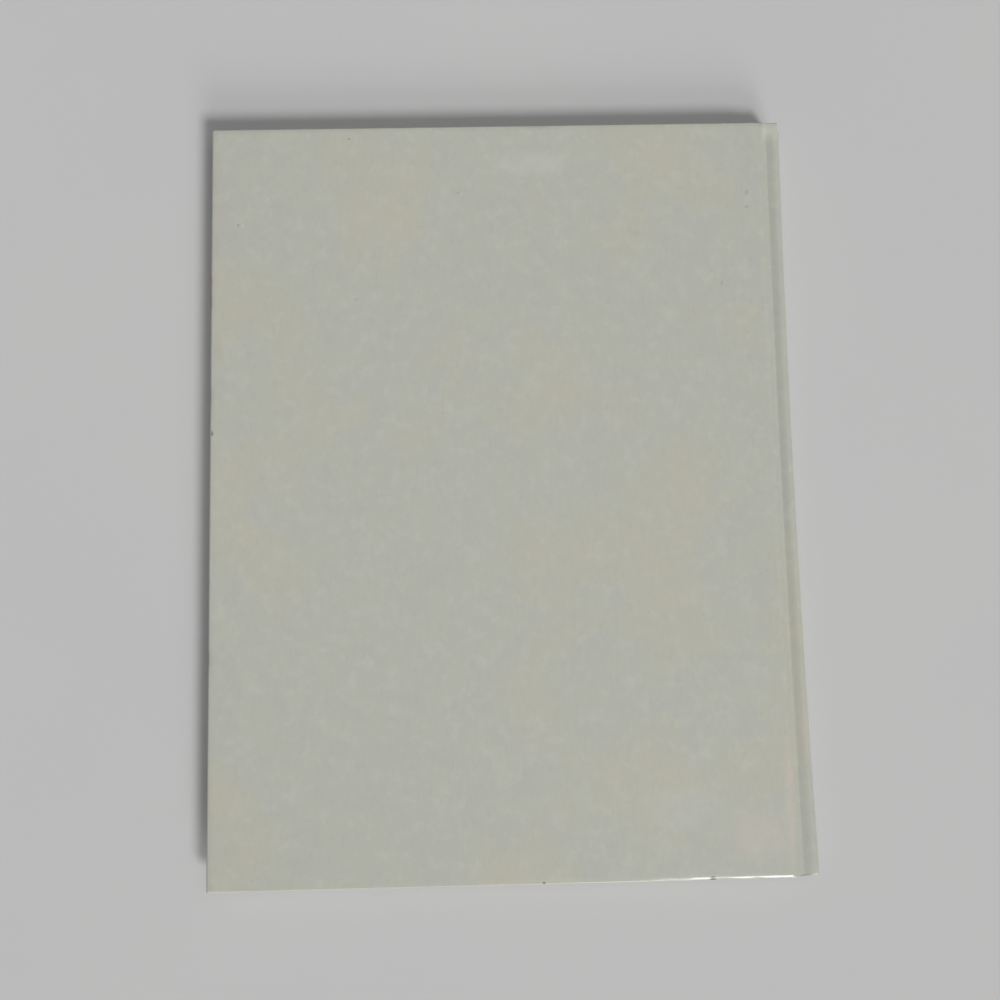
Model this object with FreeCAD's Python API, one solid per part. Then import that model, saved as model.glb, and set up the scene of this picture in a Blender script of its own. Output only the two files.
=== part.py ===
import FreeCAD, Part
import math
import os

# A case-bound book, closed, lies on its front cover. X runs from the fore edge to the spine,
# Y from the tail to the head, and Z from the front cover up to the back cover. Millimetres.

# page block
trim_width = 215.9      # from the fore edge to the crown of the block's spine
page_height = 279.4
pages_thickness = 5.0
flyleaf_thickness = 0.15
spine_round = 0.5       # how far the block's spine bulges
fore_edge_hollow = 0.5  # how far its fore edge is hollowed

# covers
board_thickness = 2.0
square = 3.2            # how far the boards stand out past the pages
sheet_thickness = 0.18  # laminated cover sheet
turn_in = 15.0          # width of the sheet that is folded in over a board
mitre_slit = 0.2        # between two turn-ins at a corner
pastedown_thickness = 0.14
edge_radius = 0.5       # on the outer edges of a covered board
joint_gap = 6.5         # from a board's spine edge to the block's spine corner
groove_width = 2.2      # from a board's spine edge to the joint line
groove_radius = 0.8     # where the sheet turns from a board's edge into the groove

# spine
spine_board_thickness = 1.0
spine_bow = 1.5         # how far the spine's ends stand out past its middle
spine_rise = 0.9        # how far the spine board's crown stands out past its shoulders
shoulder_drop = 1.2     # how far the spine's shoulders lie below the covers' faces
joint_flat = 0.8        # flat strip of the spine's sheet beside the joint line
lining_thickness = 0.25
headband_radius = 0.9
headband_tape = 0.3     # thickness of the tape that a headband's bead is woven on
tape_length = 10.0

# clearances
cover_clearance = 0.06  # between a closed cover and its flyleaf
joint_clearance = 0.1   # between a cover's sheet and the spine's at the joint line
step_width = 0.3        # where a pastedown steps off the edge of a turn-in
spine_clearance = 0.12  # between the lining and the spine's folded-in ends
glue_line = 0.02        # between the spine board and the sheet around it

# Heights, from the table up.
board_low = sheet_thickness
board_high = board_low + board_thickness
turn_high = board_high + sheet_thickness
cover_high = turn_high + pastedown_thickness
block_low = cover_high + cover_clearance
pages_low = block_low + flyleaf_thickness
pages_high = pages_low + pages_thickness
total_thickness = pages_high + pages_low
middle = total_thickness / 2
groove_floor = board_high - sheet_thickness

# Lengths from tail to head are centred on Y = 0.
page_half = page_height / 2
board_half = page_half + square
sheet_half = board_half + sheet_thickness
window_half = board_half - turn_in

# How far each layer of the spine stands out past the block's spine corner, at mid-length.
lining_reach = spine_round + lining_thickness
turned_reach = lining_reach + spine_clearance
board_inner_reach = turned_reach + sheet_thickness
board_outer_reach = board_inner_reach + spine_board_thickness
spine_reach = board_outer_reach + sheet_thickness + spine_bow

# The whole width is centred on X = 0.
page_width = trim_width - spine_round
fore_reach = page_width + square + sheet_thickness
corner_x = (fore_reach - spine_reach) / 2
fore_x = corner_x - page_width
board_fore_x = fore_x - square
sheet_fore_x = board_fore_x - sheet_thickness
window_x = board_fore_x + turn_in
board_hinge_x = corner_x - joint_gap
sheet_hinge_x = board_hinge_x + sheet_thickness
joint_x = board_hinge_x + groove_width
spine_sheet_x = joint_x + joint_clearance
joint_flat_x = spine_sheet_x + joint_flat
sheet_reach_x = corner_x + spine_reach


def arc_radius(half_chord, rise):
    return (half_chord ** 2 + rise ** 2) / (2 * rise)


# The block's spine and the spine board are arcs about two axes along Y, both at mid-height.
block_radius = arc_radius(pages_thickness / 2, spine_round)
block_axis_x = corner_x + spine_round - block_radius
shoulder_half = middle - shoulder_drop - sheet_thickness
spine_radius = arc_radius(shoulder_half, spine_rise)
spine_axis_x = corner_x + board_outer_reach - spine_radius
shoulder_angle = math.asin(shoulder_half / spine_radius)

# From head to tail the case's spine follows a long arc about an upright axis outside the book.
bow_radius = arc_radius(sheet_half, spine_bow)
bow_axis_x = corner_x + bow_radius
bow_angle = 1.1 * math.asin(sheet_half / bow_radius)


def point(x, z, y=0.0):
    return FreeCAD.Vector(x, y, z)


def on_spine(radius, angle):
    x = spine_axis_x + radius * math.cos(angle)
    return (x, middle + radius * math.sin(angle))


def mirrored(place):
    return (place[0], total_thickness - place[1])


def line(start, end):
    return Part.LineSegment(point(*start), point(*end)).toShape()


def arc(start, through, end):
    return Part.Arc(point(*start), point(*through), point(*end)).toShape()


def run(places):
    """Straight edges through a list of places."""
    return [line(start, end) for start, end in zip(places, places[1:])]


def prism(edges, y_low, y_high):
    """A closed outline in the XZ plane, carried along Y."""
    face = Part.Face(Part.Wire(edges))
    face.translate(FreeCAD.Vector(0, y_low, 0))
    return face.extrude(FreeCAD.Vector(0, y_high - y_low, 0))


def block(x_low, x_high, y_low, y_high, z_low, z_high):
    corner = FreeCAD.Vector(x_low, y_low, z_low)
    return Part.makeBox(x_high - x_low, y_high - y_low, z_high - z_low, corner)


def to_other_cover(shape):
    return shape.mirror(FreeCAD.Vector(0, 0, middle), FreeCAD.Vector(0, 0, 1))


def to_other_end(shape):
    return shape.mirror(FreeCAD.Vector(0, 0, 0), FreeCAD.Vector(0, 1, 0))


def rounded_slab(slab, radius):
    """A slab with its four upright edges and its four lowest edges rounded."""
    top = slab.BoundBox.ZMax
    rounded = [edge for edge in slab.Edges if not is_level(edge, top)]
    return slab.makeFillet(radius, rounded)


def is_level(edge, height):
    box = edge.BoundBox
    return abs(box.ZMin - height) < 1e-6 and abs(box.ZMax - height) < 1e-6


def make_pages():
    """The leaves as one solid: the fore edge is hollow, the spine is round."""
    hollow_x = fore_x + fore_edge_hollow
    crown_x = corner_x + spine_round
    edges = [
        line((fore_x, pages_low), (corner_x, pages_low)),
        arc((corner_x, pages_low), (crown_x, middle), (corner_x, pages_high)),
        line((corner_x, pages_high), (fore_x, pages_high)),
        arc((fore_x, pages_high), (hollow_x, middle), (fore_x, pages_low)),
    ]
    return prism(edges, -page_half, page_half)


def make_flyleaf():
    """The free half of the front endpaper."""
    return block(fore_x, corner_x, -page_half, page_half, block_low, pages_low)


def spine_arc_strip(thickness, half_height, y_low, y_high):
    """A strip of even thickness glued over the block's round spine."""
    radius = block_radius + thickness
    angle = math.asin(half_height / radius)
    low_x = block_axis_x + block_radius * math.cos(angle)
    low_z = middle - block_radius * math.sin(angle)
    out_x = block_axis_x + radius * math.cos(angle)
    out_z = middle - half_height
    edges = [
        line((low_x, low_z), (out_x, out_z)),
        arc((out_x, out_z), (block_axis_x + radius, middle), mirrored((out_x, out_z))),
        line(mirrored((out_x, out_z)), mirrored((low_x, low_z))),
        arc(mirrored((low_x, low_z)), (block_axis_x + block_radius, middle), (low_x, low_z)),
    ]
    return prism(edges, y_low, y_high)


def make_spine_lining():
    half = page_half - tape_length
    return spine_arc_strip(lining_thickness, pages_thickness / 2, -half, half)


def make_headband():
    """A bead on the block's head, woven on a tape that is glued down the spine."""
    half_height = pages_thickness / 2
    bead_y = page_half + headband_radius
    tape = spine_arc_strip(headband_tape, half_height, page_half - tape_length, bead_y)
    path_radius = block_radius + headband_tape - headband_radius
    angle = math.asin(half_height / (block_radius + headband_tape))
    start = FreeCAD.Vector(
        block_axis_x + path_radius * math.cos(angle),
        bead_y,
        middle - path_radius * math.sin(angle),
    )
    along = FreeCAD.Vector(math.sin(angle), 0, math.cos(angle))
    disc = Part.Face(Part.Wire(Part.makeCircle(headband_radius, start, along)))
    axis_point = FreeCAD.Vector(block_axis_x, 0, middle)
    bead = disc.revolve(axis_point, FreeCAD.Vector(0, -1, 0), math.degrees(2 * angle))
    return tape.fuse(bead).removeSplitter()


def make_board():
    """The front cover's board. Its inner side is flat, and its other edges are eased."""
    slab = block(board_fore_x, board_hinge_x, -board_half, board_half, board_low, board_high)
    return rounded_slab(slab, edge_radius - sheet_thickness)


def make_groove_lip():
    """The cover's sheet in the groove, from the board's spine edge to the joint line."""
    wall_end = (sheet_hinge_x, groove_floor - groove_radius)
    floor_start = (sheet_hinge_x + groove_radius, groove_floor)
    bend = groove_radius * (1 - math.sqrt(0.5))
    edges = run([
        floor_start,
        (joint_x, groove_floor),
        (joint_x, turn_high),
        (board_hinge_x, turn_high),
        (board_hinge_x, wall_end[1]),
        wall_end,
    ])
    edges.append(arc(wall_end, (sheet_hinge_x + bend, groove_floor - bend), floor_start))
    return prism(edges, -sheet_half, sheet_half)


def make_groove_pocket():
    """The small hollow between the board's spine edge and the sheet that leaves it."""
    radius = groove_radius + sheet_thickness
    wall_end = (board_hinge_x, board_high - radius)
    floor_start = (board_hinge_x + radius, board_high)
    bend = radius * (1 - math.sqrt(0.5))
    edges = run([floor_start, (board_hinge_x, board_high), wall_end])
    edges.append(arc(wall_end, (board_hinge_x + bend, board_high - bend), floor_start))
    return prism(edges, -board_half, board_half)


def make_mitre_slit(side):
    """The slit between two turn-ins, from beside the board's corner to inside their own."""
    start = mitre_slit
    end = turn_in * math.sqrt(2) + mitre_slit
    slit = block(start, end, -mitre_slit / 2, mitre_slit / 2, board_high, turn_high)
    slit.rotate(FreeCAD.Vector(0, 0, 0), FreeCAD.Vector(0, 0, 1), -45 * side)
    slit.translate(FreeCAD.Vector(board_fore_x, side * board_half, 0))
    return slit


def make_cover_sheet(board):
    """The front cover's part of the sheet, folded in over the board on three sides."""
    slab = block(sheet_fore_x, sheet_hinge_x, -sheet_half, sheet_half, 0, turn_high)
    outside = rounded_slab(slab, edge_radius).fuse(make_groove_lip())
    window = block(window_x, joint_x, -window_half, window_half, board_high, turn_high)
    hollows = [board, make_groove_pocket(), window, make_mitre_slit(1), make_mitre_slit(-1)]
    return outside.cut(hollows).removeSplitter()


def make_pastedown():
    """The half of the endpaper that is pasted to the cover, over the turn-ins' edges."""
    inner_x = window_x + step_width
    inner_half = window_half - step_width
    step_top = board_high + pastedown_thickness
    over = block(fore_x, joint_x, -page_half, page_half, turn_high, cover_high)
    field = block(window_x, joint_x, -window_half, window_half, board_high, cover_high)
    sunk = block(inner_x, joint_x, -inner_half, inner_half, step_top, cover_high)
    return over.fuse(field).cut(sunk).removeSplitter()


def bowed(edges, half_length):
    """A closed outline in the XZ plane, carried along the spine's long arc and cut square."""
    section = Part.Face(Part.Wire(edges))
    axis_point = FreeCAD.Vector(bow_axis_x, 0, 0)
    upright = FreeCAD.Vector(0, 0, 1)
    section.rotate(axis_point, upright, -math.degrees(bow_angle))
    carried = section.revolve(axis_point, upright, 2 * math.degrees(bow_angle))
    span = block(spine_sheet_x, sheet_reach_x, -half_length, half_length, 0, total_thickness)
    return carried.common(span)


def make_spine_board():
    """The spine's board, bent to an arc, with its two outer corners eased."""
    outer_radius = spine_radius - glue_line
    inner_radius = spine_radius - spine_board_thickness + glue_line
    outer_low = on_spine(outer_radius, -shoulder_angle)
    inner_low = on_spine(inner_radius, -shoulder_angle)
    edges = [
        line(inner_low, outer_low),
        arc(outer_low, on_spine(outer_radius, 0), mirrored(outer_low)),
        line(mirrored(outer_low), mirrored(inner_low)),
        arc(mirrored(inner_low), on_spine(inner_radius, 0), inner_low),
    ]
    strip = bowed(edges, board_half - glue_line)
    return strip.makeFillet(edge_radius - sheet_thickness, shoulder_edges(strip, outer_low))


def shoulder_edges(shape, place):
    """The two long edges from head to tail at the heights of a place and its mirrored place."""
    heights = (place[1], mirrored(place)[1])
    found = []
    for edge in shape.Edges:
        ends = [vertex.Point.z for vertex in edge.Vertexes]
        level = any(max(abs(end - height) for end in ends) < 1e-4 for height in heights)
        if level and edge.BoundBox.YLength > page_half:
            found.append(edge)
    return found


def spine_outline(board_radius, out):
    """Places from the joint to the shoulder, a distance out from the line that runs from the
    joint to a corner of the spine board. A negative distance lies on the block's side."""
    kink_x = joint_flat_x
    kink_z = board_high
    end_x, end_z = on_spine(board_radius, -shoulder_angle)
    slope = math.atan2(end_z - kink_z, end_x - kink_x)
    from_axis_x = kink_x + out * math.sin(slope) - spine_axis_x
    from_axis_z = kink_z - out * math.cos(slope) - middle
    along = from_axis_x * math.cos(slope) + from_axis_z * math.sin(slope)
    across = from_axis_x * math.sin(slope) - from_axis_z * math.cos(slope)
    reach = math.sqrt((board_radius + out) ** 2 - across ** 2) - along
    shoulder = (
        kink_x + out * math.sin(slope) + reach * math.cos(slope),
        kink_z - out * math.cos(slope) + reach * math.sin(slope),
    )
    start_x = spine_sheet_x - 2 * spine_bow
    return [(start_x, kink_z - out), (kink_x, kink_z - out), shoulder]


def spine_prism(board_radius, out, half_length):
    """All that lies on the block's side of the outline and of its mirrored half."""
    low = spine_outline(board_radius, out)
    high = [mirrored(place) for place in reversed(low)]
    crown = on_spine(board_radius + out, 0)
    edges = run(low) + [arc(low[-1], crown, high[0])] + run(high) + [line(high[-1], low[0])]
    return bowed(edges, half_length)


def make_spine_sheet():
    """The spine's part of the sheet, folded in over the spine board at the head and the tail."""
    inner_radius = spine_radius - spine_board_thickness
    outside = spine_prism(spine_radius, sheet_thickness, sheet_half)
    shoulder = spine_outline(spine_radius, sheet_thickness)[-1]
    outside = outside.makeFillet(edge_radius, shoulder_edges(outside, shoulder))
    within = spine_prism(spine_radius, 0, board_half)
    shoulder = spine_outline(spine_radius, 0)[-1]
    eased = edge_radius - sheet_thickness
    within = within.makeFillet(eased, shoulder_edges(within, shoulder))
    between_layers = within.cut(spine_prism(inner_radius, 0, board_half))
    unfolded_span = block(spine_sheet_x, sheet_reach_x, -window_half, window_half, 0, total_thickness)
    unfolded_span = unfolded_span.common(within)
    behind_fold = spine_prism(inner_radius, -sheet_thickness, sheet_half)
    return outside.cut([between_layers, unfolded_span, behind_fold]).removeSplitter()


def save(name, shape):
    assert shape.isValid() and len(shape.Solids) == 1, name
    shape.Solids[0].exportStep("parts/" + name + ".step")


os.makedirs("parts", exist_ok=True)

save("pages", make_pages())
save("spine_lining", make_spine_lining())
save("spine_board", make_spine_board())
save("spine_sheet", make_spine_sheet())

headband = make_headband()
save("headband_head", headband)
save("headband_tail", to_other_end(headband))

board = make_board()
front_pieces = {
    "flyleaf": make_flyleaf(),
    "board": board,
    "cover_sheet": make_cover_sheet(board),
    "pastedown": make_pastedown(),
}
for name, shape in front_pieces.items():
    save("front_" + name, shape)
    save("back_" + name, to_other_cover(shape))
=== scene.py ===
import math
import bmesh
import bpy
import numpy as np
from mathutils import Matrix, Vector


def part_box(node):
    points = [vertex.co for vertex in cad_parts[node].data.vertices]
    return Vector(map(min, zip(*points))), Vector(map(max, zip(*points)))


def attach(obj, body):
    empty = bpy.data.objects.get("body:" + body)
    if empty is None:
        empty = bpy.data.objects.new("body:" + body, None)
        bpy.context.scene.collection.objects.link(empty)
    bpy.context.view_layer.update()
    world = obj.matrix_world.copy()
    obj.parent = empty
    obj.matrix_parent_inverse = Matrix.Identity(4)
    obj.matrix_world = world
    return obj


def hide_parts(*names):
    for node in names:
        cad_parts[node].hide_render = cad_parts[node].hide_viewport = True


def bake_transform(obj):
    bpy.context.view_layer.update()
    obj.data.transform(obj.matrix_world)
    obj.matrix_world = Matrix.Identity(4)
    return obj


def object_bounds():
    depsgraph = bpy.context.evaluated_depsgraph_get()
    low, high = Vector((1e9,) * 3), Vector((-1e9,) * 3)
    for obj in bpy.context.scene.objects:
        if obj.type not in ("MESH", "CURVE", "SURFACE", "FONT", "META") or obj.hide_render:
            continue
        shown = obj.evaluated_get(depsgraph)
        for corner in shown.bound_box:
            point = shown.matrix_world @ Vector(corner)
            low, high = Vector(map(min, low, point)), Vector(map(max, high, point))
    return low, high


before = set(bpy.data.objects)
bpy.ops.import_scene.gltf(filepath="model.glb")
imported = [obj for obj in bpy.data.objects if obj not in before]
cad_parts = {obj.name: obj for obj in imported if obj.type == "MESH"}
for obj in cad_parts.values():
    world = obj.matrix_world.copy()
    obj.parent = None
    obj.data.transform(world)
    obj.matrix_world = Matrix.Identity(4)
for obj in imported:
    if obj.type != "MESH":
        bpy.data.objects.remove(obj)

# A hardcover book lies closed on its front cover. X runs from fore edge to spine, Y from tail
# to head, Z up. Metres, with small sizes written as so many mm.
mm = 0.001
cadLow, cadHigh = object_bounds()

boardLow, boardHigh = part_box("back_board")
sheetLow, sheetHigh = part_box("back_cover_sheet")
spineLow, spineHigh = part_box("spine_sheet")
pagesLow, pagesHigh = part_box("pages")
leafLow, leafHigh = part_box("back_flyleaf")
pastedLow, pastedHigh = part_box("back_pastedown")

midHeight = (pagesLow.z + pagesHigh.z) / 2
cornerX = leafHigh.x  # the block's spine corner, where both covers turn
jointX = sheetHigh.x  # the joint line: a cover moves as one up to here


def smooth(t):
    # 3t^2 - 2t^3 with t held between 0 and 1
    t = np.clip(t, 0, 1)
    return t * t * (3 - 2 * t)


def bezier(start, startPull, endPull, end, count):
    # (1-t)^3 start + 3t(1-t)^2 startPull + 3t^2(1-t) endPull + t^3 end
    t = np.linspace(0, 1, count)[:, None]
    points = [np.array(p, float) for p in (start, startPull, endPull, end)]
    weights = [(1 - t) ** 3, 3 * t * (1 - t) ** 2, 3 * t * t * (1 - t), t ** 3]
    return sum(weight * place for weight, place in zip(weights, points))


def waves(x, y, seed, length, count=7):
    # sum of sines, each with its own direction, length and phase, scaled to about -1..1
    rng = np.random.default_rng(seed)
    total = np.zeros(np.broadcast(x, y).shape)
    for heading, stretch, phase in rng.random((count, 3)):
        turn = heading * 2 * math.pi
        along = x * math.cos(turn) + y * math.sin(turn)
        total = total + np.sin(2 * math.pi * (along / (length * (0.6 + stretch)) + phase))
    return total / math.sqrt(count)


def refined(low, high, spacing, places, reach, fine):
    # even steps from low to high, with finer steps within reach of each place
    steps = [np.linspace(low, high, round((high - low) / spacing) + 1)]
    for place in places:
        steps.append(place + np.arange(-reach, reach + fine / 2, fine))
    values = np.sort(np.concatenate(steps))
    values = values[(values >= low) & (values <= high)]
    keep = np.concatenate([[True], np.diff(values) > fine * 0.45])
    keep[-1] = True
    return values[keep]


def gridFaces(rows, columns, first=0, closed=False):
    # quads of a grid whose points are numbered row by row; closed joins last column to first
    row = np.arange(rows - 1)[:, None] * columns
    column = np.arange(columns if closed else columns - 1)
    following = (column + 1) % columns
    corners = [row + column, row + following, row + columns + following, row + columns + column]
    return np.stack(corners, -1).reshape(-1, 4) + first


def newPiece(name, points, faces, flip=False, values=None, merge=True):
    # points is an N x 3 array, faces a list of index rows, values a float for each point
    if flip:
        faces = [tuple(face)[::-1] for face in faces]
    mesh = bpy.data.meshes.new(name)
    mesh.from_pydata(np.asarray(points).tolist(), [], [list(map(int, face)) for face in faces])
    for label, numbers in (values or {}).items():
        mesh.attributes.new(label, "FLOAT", "POINT").data.foreach_set("value", numbers.ravel())
    if merge:
        shape = bmesh.new()
        shape.from_mesh(mesh)
        bmesh.ops.remove_doubles(shape, verts=shape.verts, dist=0.004 * mm)
        shape.to_mesh(mesh)
        shape.free()
    piece = bpy.data.objects.new(name, mesh)
    bpy.context.scene.collection.objects.link(piece)
    return piece


def thicken(piece, thickness):
    # a wall on the inner side of an open surface
    wall = piece.modifiers.new("wall", "SOLIDIFY")
    wall.thickness = thickness
    wall.offset = -1
    wall.use_even_offset = False
    wall.use_rim = True


def finishPiece(piece, material, crease=40):
    # the modifiers' result becomes the mesh, smooth but for edges sharper than the crease
    bpy.context.view_layer.update()
    evaluated = piece.evaluated_get(bpy.context.evaluated_depsgraph_get())
    mesh = bpy.data.meshes.new_from_object(evaluated)
    mesh.name = piece.name
    piece.modifiers.clear()
    piece.data = mesh
    mesh.polygons.foreach_set("use_smooth", np.ones(len(mesh.polygons), bool))
    mesh.set_sharp_from_angle(angle=math.radians(crease))
    mesh.materials.clear()
    mesh.materials.append(material)
    mesh.update()


def srgb(red, green, blue):
    # a colour of 0-255 as it shows, turned linear
    shown = np.array([red, green, blue]) / 255
    linear = np.where(shown <= 0.04045, shown / 12.92, ((shown + 0.055) / 1.055) ** 2.4)
    return (*linear.tolist(), 1.0)


class Finish:
    # a node material with short ways to add and join its nodes

    def __init__(self, name, roughness, specular=0.5, sheen=0.0):
        self.material = bpy.data.materials.new(name)
        self.material.use_nodes = True
        self.tree = self.material.node_tree
        self.shader = self.tree.nodes["Principled BSDF"]
        self.shader.inputs["Roughness"].default_value = roughness
        self.shader.inputs["Specular IOR Level"].default_value = specular
        self.shader.inputs["Sheen Weight"].default_value = sheen
        self.place = self.tree.nodes.new("ShaderNodeTexCoord").outputs["Object"]

    def node(self, kind, settings=None, **inputs):
        # a node with its settings; its inputs are named with _ where the name has a space
        made = self.tree.nodes.new(kind)
        for key, value in (settings or {}).items():
            setattr(made, key, value)
        for key, value in inputs.items():
            self.feed(made.inputs[key.replace("_", " ")], value)
        return made

    def feed(self, socket, value):
        # another node's output is linked, anything else is written into the socket
        if isinstance(value, bpy.types.NodeSocket):
            self.tree.links.new(value, socket)
        else:
            socket.default_value = value

    def stretched(self, scale, turn=0.0):
        # places turned about Z, then scaled along the turned axes
        turned = self.node("ShaderNodeMapping", Vector=self.place)
        turned.inputs["Rotation"].default_value = (0, 0, math.radians(turn))
        made = self.node("ShaderNodeMapping", Vector=turned.outputs["Vector"])
        made.inputs["Scale"].default_value = scale
        return made.outputs["Vector"]

    def noise(self, scale, detail=3.0, vector=None, roughness=0.5):
        # fractal noise, mostly 0.3..0.7, with about so many lumps to a metre
        made = self.node(
            "ShaderNodeTexNoise", Scale=scale, Detail=detail, Roughness=roughness,
            Vector=vector or self.place,
        )
        return made.outputs["Fac"]

    def between(self, value, low, high, toLow=0.0, toHigh=1.0):
        # value from low..high becomes toLow..toHigh, held at both ends
        made = self.node("ShaderNodeMapRange", {"interpolation_type": "SMOOTHSTEP"}, Value=value)
        limits = {"From Min": low, "From Max": high, "To Min": toLow, "To Max": toHigh}
        for key, number in limits.items():
            made.inputs[key].default_value = number
        return made.outputs["Result"]

    def maths(self, operation, first, second=0.0):
        # one sum on two values
        made = self.node("ShaderNodeMath", {"operation": operation})
        self.feed(made.inputs[0], first)
        self.feed(made.inputs[1], second)
        return made.outputs[0]

    def mix(self, share, first, second):
        # first * (1 - share) + second * share
        made = self.node("ShaderNodeMix", {"data_type": "RGBA"})
        self.feed(made.inputs[0], share)
        self.feed(made.inputs[6], first)
        self.feed(made.inputs[7], second)
        return made.outputs[2]

    def attribute(self, label):
        # a number that newPiece stored at each of the mesh's points
        made = self.node("ShaderNodeAttribute", {"attribute_name": label})
        return made.outputs["Fac"]

    def spot(self, x, y, radius, soft=0.4, stretch=(1.0, 1.0)):
        # 1 inside an ellipse on the cover's face, 0 outside: a smooth step down over
        # sqrt((dx / stretchX)^2 + (dy / stretchY)^2) round the radius
        split = self.node("ShaderNodeSeparateXYZ", Vector=self.place)
        dx = self.maths("MULTIPLY", self.maths("SUBTRACT", split.outputs["X"], x), 1 / stretch[0])
        dy = self.maths("MULTIPLY", self.maths("SUBTRACT", split.outputs["Y"], y), 1 / stretch[1])
        squares = self.maths("ADD", self.maths("MULTIPLY", dx, dx), self.maths("MULTIPLY", dy, dy))
        distance = self.maths("SQRT", squares)
        return self.between(distance, radius * (1 - soft), radius * (1 + soft), 1.0, 0.0)

    def bump(self, height, distance, strength=1.0, onto=None):
        # the normal of a surface raised by height * distance, on top of another bump's
        made = self.node("ShaderNodeBump", Height=height, Distance=distance, Strength=strength)
        if onto is not None:
            self.feed(made.inputs["Normal"], onto)
        return made.outputs["Normal"]

    def finish(self, colour, roughness=None, normal=None):
        # what is given goes to the shader, and the material is handed back
        for key, value in (("Base Color", colour), ("Roughness", roughness), ("Normal", normal)):
            if value is not None:
                self.feed(self.shader.inputs[key], value)
        return self.material


laminateLook = {
    "green": srgb(174, 175, 163),
    "grey": srgb(172, 173, 164),
    "yellow": srgb(177, 175, 160),
    "fibre": srgb(159, 160, 150),
    "mottle": srgb(185, 186, 177),
    "mottleShare": 0.36,
    "speck": srgb(128, 124, 112),
    "scratch": srgb(202, 203, 196),
    "worn": srgb(150, 147, 137),
    "board": srgb(112, 104, 90),
    "roughness": 0.4,
    "film": 0.8,            # how much of the gloss is the clear film's
    "filmRoughness": 0.2,
    "filmIndex": 1.48,
}

# Marks on the back cover: x, y and radius in mm, the colour that shows, how strongly, and how
# the mark is stretched in x and y. Most are stains, nicks and smudges; some are painted shade and
# painted highlights.
coverMarks = {
    # the dimple: painted shade in its floor and a painted highlight on its rim, over the shallow
    # dent in the panel
    "dimpleShade": (-101.1, 104.8, 0.5, srgb(112, 111, 102), 0.5, (1.2, 0.8)),
    "dimpleRimHighlight": (-100.0, 104.1, 1.1, srgb(200, 200, 192), 0.3, (1.3, 0.7)),
    "headNick": (-58.4, 138.5, 0.5, srgb(120, 120, 112), 0.6, (1.3, 0.7)),
    # a small dent drawn only in colour: painted shade in it and a painted highlight on its rim
    "topNickShade": (-16.5, 116.1, 0.4, srgb(124, 124, 116), 0.55, (1.0, 1.0)),
    "topNickRimHighlight": (-15.3, 115.6, 0.8, srgb(196, 196, 188), 0.25, (1.0, 0.7)),
    "leftNick": (-55.7, 74.5, 0.8, srgb(146, 146, 134), 0.35, (1.3, 0.8)),
    "foreSpeck": (-110.3, 23.7, 0.8, srgb(96, 72, 52), 0.8, (0.5, 1.2)),
    "foreStain": (-108.7, 112.7, 8.0, srgb(176, 166, 160), 0.3, (0.3, 2.6)),
    "foreYellow": (-108.3, 56.9, 5.0, srgb(170, 165, 140), 0.35, (0.4, 1.3)),
    "jointSmudgeHigh": (95.5, 114.8, 0.9, srgb(140, 138, 130), 0.5, (0.8, 1.0)),
    "jointSmudgeLow": (95.2, 109.0, 0.9, srgb(136, 134, 126), 0.5, (0.9, 0.7)),
    "midSmudge": (84.3, 78.7, 0.8, srgb(146, 144, 136), 0.45, (0.8, 1.2)),
    "headSmudge": (69.6, 116.8, 1.4, srgb(158, 160, 151), 0.3, (1.3, 0.7)),
    "upperSmudge": (52.0, 99.0, 1.4, srgb(158, 160, 152), 0.35, (1.2, 0.8)),
    "tailChip": (71.2, -142.5, 0.9, srgb(62, 54, 44), 0.95, (1.3, 0.8)),
    "tailDot": (10.0, -142.6, 0.5, srgb(70, 62, 52), 0.8, (1.0, 1.0)),
    "paleBloom": (11.4, 128.0, 8.0, srgb(190, 191, 184), 0.3, (1.6, 0.6)),
    # partly painted shade on the spine's tail end face, partly the brown of worn board
    "tailEndShade": (106.2, -142.8, 0.4, srgb(134, 116, 104), 0.8, (8.0, 1.0)),
    "tailBloom": (62.0, -118.0, 9.0, srgb(186, 187, 180), 0.25, (1.6, 0.8)),
    "pinkPanel": (90.0, -128.0, 9.0, srgb(190, 181, 172), 0.4, (1.2, 0.9)),
    "pinkJoint": (100.9, -116.0, 6.0, srgb(196, 180, 168), 0.4, (0.35, 3.0)),
    "pinkShoulder": (108.0, -92.0, 6.0, srgb(188, 174, 164), 0.35, (0.35, 1.8)),
}


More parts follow.
